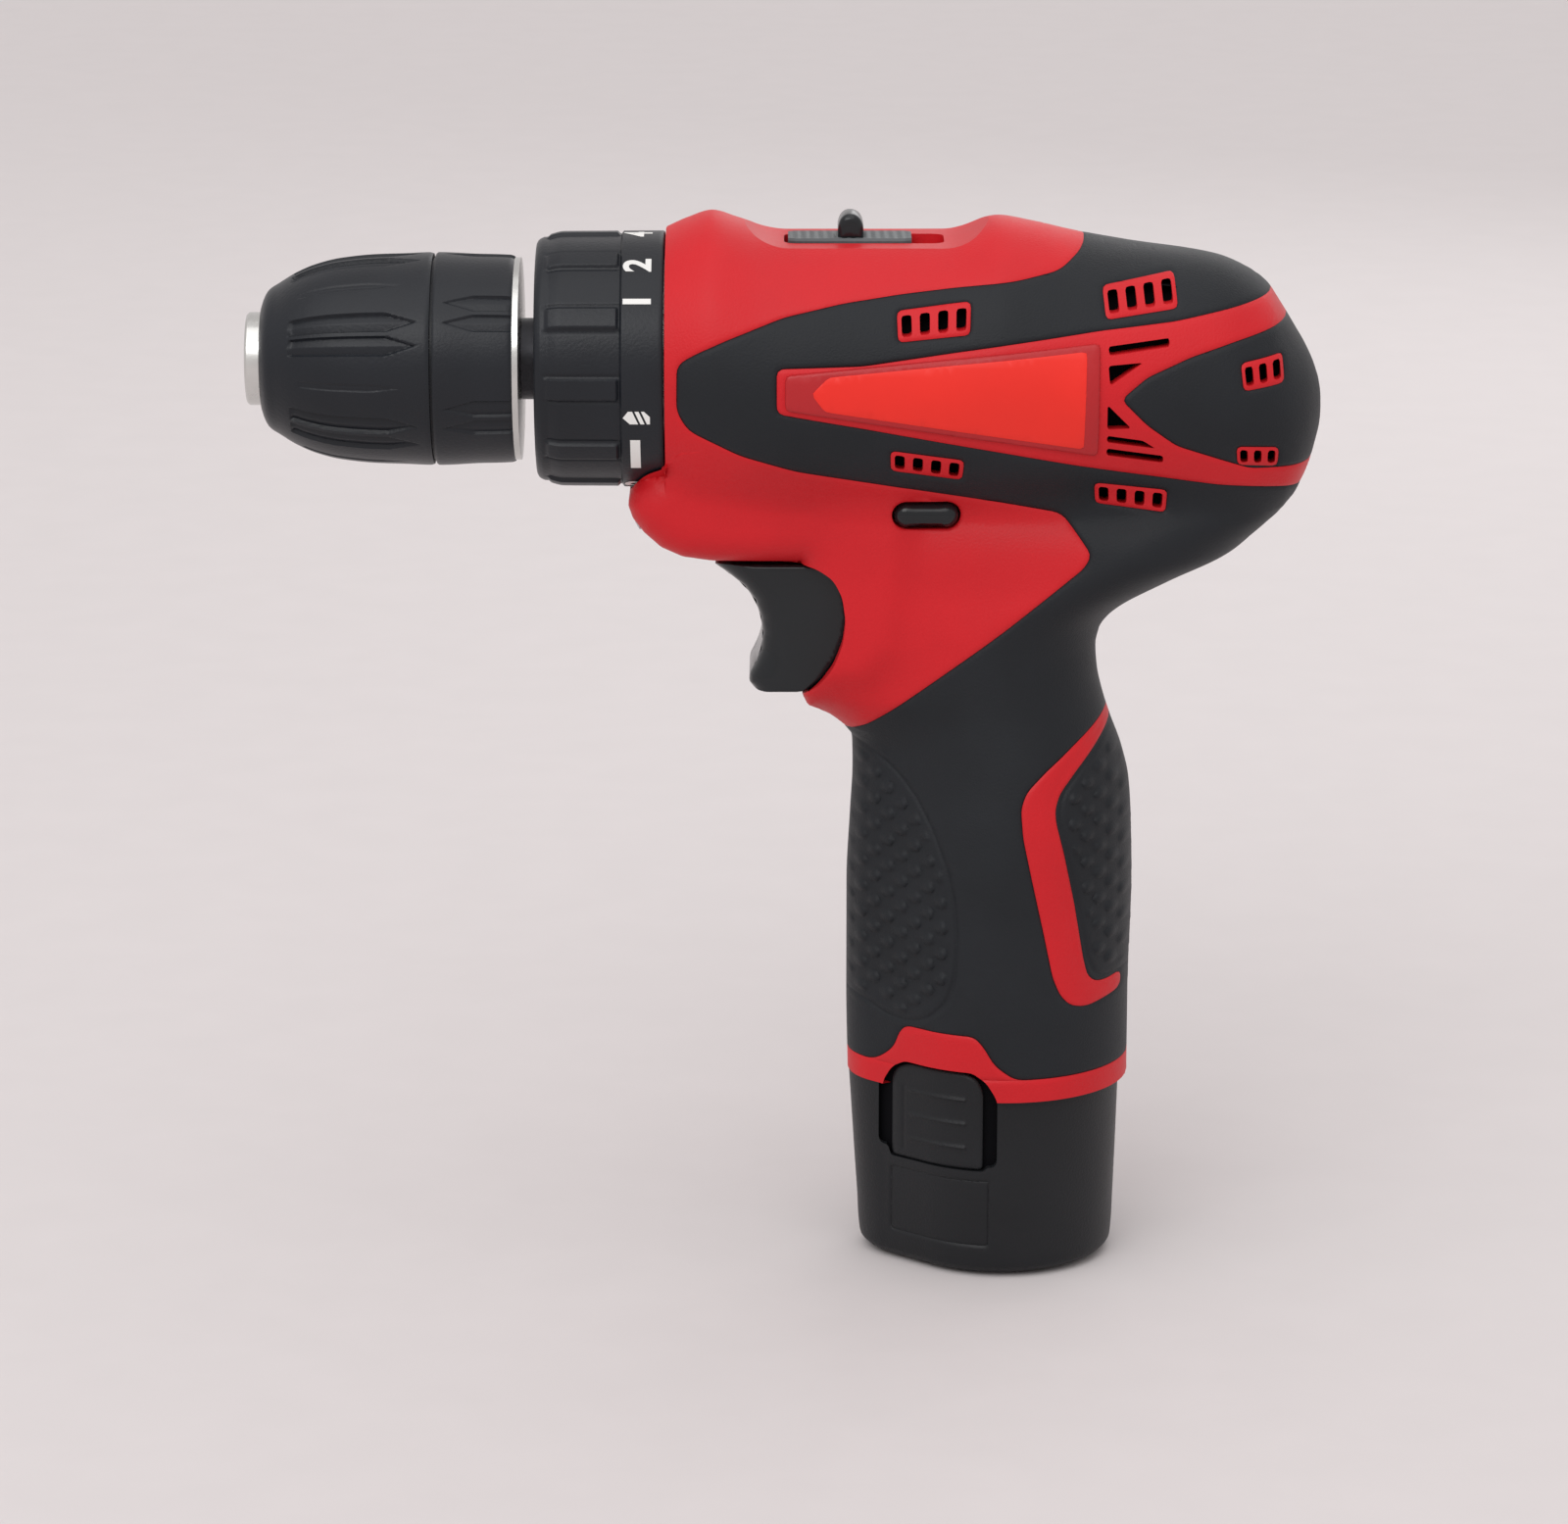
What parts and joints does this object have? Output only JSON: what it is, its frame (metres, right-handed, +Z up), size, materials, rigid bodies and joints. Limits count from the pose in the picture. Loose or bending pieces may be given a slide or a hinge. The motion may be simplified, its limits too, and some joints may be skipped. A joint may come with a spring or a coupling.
{
  "type": "cordless drill",
  "caption": "Pistol-grip battery drill driver with keyless chuck, torque collar, speed and direction switches and slide-in pack.",
  "frame": {"origin": "on the spindle axis at the chuck's mouth", "axes": "+X from the chuck back to the motor, +Z up, the drill's left side faces -Y"},
  "size_m": [0.185, 0.0542, 0.1857],
  "materials": {
    "red_shell": "fine-textured moulded ABS",
    "black_grip": "satin thermoplastic rubber",
    "badge_red": "satin plate",
    "black_plastic": "satin moulded plastic",
    "gloss_black": "polished plastic",
    "grey_plastic": "fine-grained plastic",
    "natural_plastic": "glass-filled nylon",
    "steel": "turned steel",
    "dark_steel": "blackened steel",
    "copper": "copper",
    "clear_lens": "clear moulded lens",
    "board_green": "circuit board",
    "cell_wrap": "shrink sleeve"
  },
  "bodies": {
    "housing": {"left_housing": "red_shell", "right_housing": "red_shell", "left_grip": "black_grip", "right_grip": "black_grip", "left_badge": "badge_red", "right_badge": "badge_red", "led_lens": "clear_lens", "housing_screws": "dark_steel", "gear_case": "natural_plastic", "gearbox_rear_plate": "natural_plastic", "first_ring_gear": "natural_plastic", "clutch_ring_gear": "dark_steel", "clutch_balls": "steel", "clutch_washer": "steel", "clutch_spring": "steel", "spindle_bearings": "steel", "motor_can": "steel", "motor_magnets": "dark_steel", "motor_end_bell": "black_plastic", "motor_bushes": "copper", "carbon_brushes": "dark_steel", "switch_body": "black_plastic", "trigger_spring": "steel", "tool_contacts": "black_plastic"},
    "spindle": {"spindle": "steel", "chuck_body": "steel", "rear_sleeve": "black_plastic", "chuck_screw": "steel", "thrust_balls": "steel"},
    "chuck_sleeve": {"front_sleeve": "black_plastic", "chuck_nut": "steel"},
    "jaw_1": {"jaw_1": "steel"},
    "jaw_2": {"jaw_2": "steel"},
    "jaw_3": {"jaw_3": "steel"},
    "second_stage": {"first_carrier": "steel", "second_planets": "steel", "second_carrier": "steel"},
    "shift_ring": {"shift_ring": "dark_steel"},
    "rotor": {"rotor_shaft": "steel", "motor_pinion": "steel", "armature": "dark_steel", "commutator": "copper"},
    "clutch_collar": {"clutch_collar": "black_plastic"},
    "clutch_nut": {"clutch_nut": "natural_plastic"},
    "speed_selector": {"speed_selector": "grey_plastic", "shift_fork": "steel"},
    "direction_button": {"direction_button": "gloss_black"},
    "trigger": {"trigger": "black_plastic"},
    "battery": {"battery_case": "black_plastic", "battery_cells": "cell_wrap", "battery_board": "board_green", "battery_cap": "black_plastic"},
    "left_latch": {"left_latch": "black_plastic"},
    "right_latch": {"right_latch": "black_plastic"},
    "first_planet_1": {"first_planet_1": "steel"},
    "third_planet_1": {"third_planet_1": "steel"},
    "first_planet_2": {"first_planet_2": "steel"},
    "third_planet_2": {"third_planet_2": "steel"},
    "first_planet_3": {"first_planet_3": "steel"},
    "third_planet_3": {"third_planet_3": "steel"}
  },
  "joints": [
    {"name": "motor_spin", "type": "hinge", "parent": "housing", "child": "rotor", "pos_m": [0, 0, 0], "axis": [1, 0, 0], "continuous": true},
    {"name": "second_stage_spin", "type": "hinge", "parent": "housing", "child": "second_stage", "pos_m": [0, 0, 0], "axis": [1, 0, 0], "continuous": true},
    {"name": "spindle_spin", "type": "hinge", "parent": "housing", "child": "spindle", "pos_m": [0, 0, 0], "axis": [1, 0, 0], "continuous": true},
    {"name": "first_planet_1_spin", "type": "hinge", "parent": "second_stage", "child": "first_planet_1", "pos_m": [0.1, 0, 0.009], "axis": [1, 0, 0], "continuous": true},
    {"name": "third_planet_1_spin", "type": "hinge", "parent": "spindle", "child": "third_planet_1", "pos_m": [0.08, 0, 0.0108], "axis": [1, 0, 0], "continuous": true},
    {"name": "first_planet_2_spin", "type": "hinge", "parent": "second_stage", "child": "first_planet_2", "pos_m": [0.1, -0.00779, -0.0045], "axis": [1, 0, 0], "continuous": true},
    {"name": "third_planet_2_spin", "type": "hinge", "parent": "spindle", "child": "third_planet_2", "pos_m": [0.08, -0.00935, -0.0054], "axis": [1, 0, 0], "continuous": true},
    {"name": "first_planet_3_spin", "type": "hinge", "parent": "second_stage", "child": "first_planet_3", "pos_m": [0.1, 0.00779, -0.0045], "axis": [1, 0, 0], "continuous": true},
    {"name": "third_planet_3_spin", "type": "hinge", "parent": "spindle", "child": "third_planet_3", "pos_m": [0.08, 0.00935, -0.0054], "axis": [1, 0, 0], "continuous": true},
    {"name": "speed_selector_slide", "type": "slide", "parent": "housing", "child": "speed_selector", "axis": [1, 0, 0], "range_m": [0, 0.004]},
    {"name": "shift_ring_slide", "type": "slide", "parent": "second_stage", "child": "shift_ring", "axis": [1, 0, 0], "range_m": [0, 0.004]},
    {"name": "chuck_sleeve_turn", "type": "hinge", "parent": "spindle", "child": "chuck_sleeve", "pos_m": [0, 0, 0], "axis": [1, 0, 0], "range_deg": [0, 5090]},
    {"name": "jaw_1_slide", "type": "slide", "parent": "spindle", "child": "jaw_1", "axis": [-0.9659, 0, -0.2588], "range_m": [0, 0.01797]},
    {"name": "jaw_2_slide", "type": "slide", "parent": "spindle", "child": "jaw_2", "axis": [-0.9659, 0.2241, 0.1294], "range_m": [0, 0.01797]},
    {"name": "jaw_3_slide", "type": "slide", "parent": "spindle", "child": "jaw_3", "axis": [-0.9659, -0.2241, 0.1294], "range_m": [0, 0.01797]},
    {"name": "clutch_collar_turn", "type": "hinge", "parent": "housing", "child": "clutch_collar", "pos_m": [0, 0, 0], "axis": [-1, 0, 0], "range_deg": [-239, 68]},
    {"name": "clutch_nut_slide", "type": "slide", "parent": "clutch_collar", "child": "clutch_nut", "axis": [1, 0, 0], "range_m": [-0.00075, 0.00255], "deforming": ["clutch_spring"]},
    {"name": "direction_button_slide", "type": "slide", "parent": "housing", "child": "direction_button", "axis": [0, 1, 0], "range_m": [-0.0025, 0.0025]},
    {"name": "trigger_slide", "type": "slide", "parent": "housing", "child": "trigger", "axis": [1, 0, 0], "range_m": [0, 0.006], "stiffness_N_per_m": 900, "springref_m": -0.003, "deforming": ["trigger_spring"]},
    {"name": "battery_slide", "type": "slide", "parent": "housing", "child": "battery", "axis": [0, 0, -1], "range_m": [0, 0.05]},
    {"name": "left_latch_press", "type": "hinge", "parent": "battery", "child": "left_latch", "pos_m": [0.118, -0.015, -0.1406], "axis": [-0.8518, 0.5239, 0], "range_deg": [0, 2.5], "stiffness_Nm_per_rad": 3},
    {"name": "right_latch_press", "type": "hinge", "parent": "battery", "child": "right_latch", "pos_m": [0.118, 0.015, -0.1406], "axis": [0.8518, 0.5239, 0], "range_deg": [0, 2.5], "stiffness_Nm_per_rad": 3}
  ],
  "couplings": [
    {"joint": "second_stage_spin", "follows": "motor_spin", "ratio": 0.2},
    {"joint": "spindle_spin", "follows": "motor_spin", "ratio": 0.066667},
    {"joint": "first_planet_1_spin", "follows": "motor_spin", "ratio": -0.53333},
    {"joint": "third_planet_1_spin", "follows": "motor_spin", "ratio": -0.26667},
    {"joint": "first_planet_2_spin", "follows": "motor_spin", "ratio": -0.53333},
    {"joint": "third_planet_2_spin", "follows": "motor_spin", "ratio": -0.26667},
    {"joint": "first_planet_3_spin", "follows": "motor_spin", "ratio": -0.53333},
    {"joint": "third_planet_3_spin", "follows": "motor_spin", "ratio": -0.26667},
    {"joint": "shift_ring_slide", "follows": "speed_selector_slide", "ratio": 1},
    {"joint": "jaw_1_slide", "follows": "chuck_sleeve_turn", "m_per_rad": 0.00020213},
    {"joint": "jaw_2_slide", "follows": "chuck_sleeve_turn", "m_per_rad": 0.00020213},
    {"joint": "jaw_3_slide", "follows": "chuck_sleeve_turn", "m_per_rad": 0.00020213},
    {"joint": "clutch_nut_slide", "follows": "clutch_collar_turn", "m_per_rad": -0.0006}
  ]
}
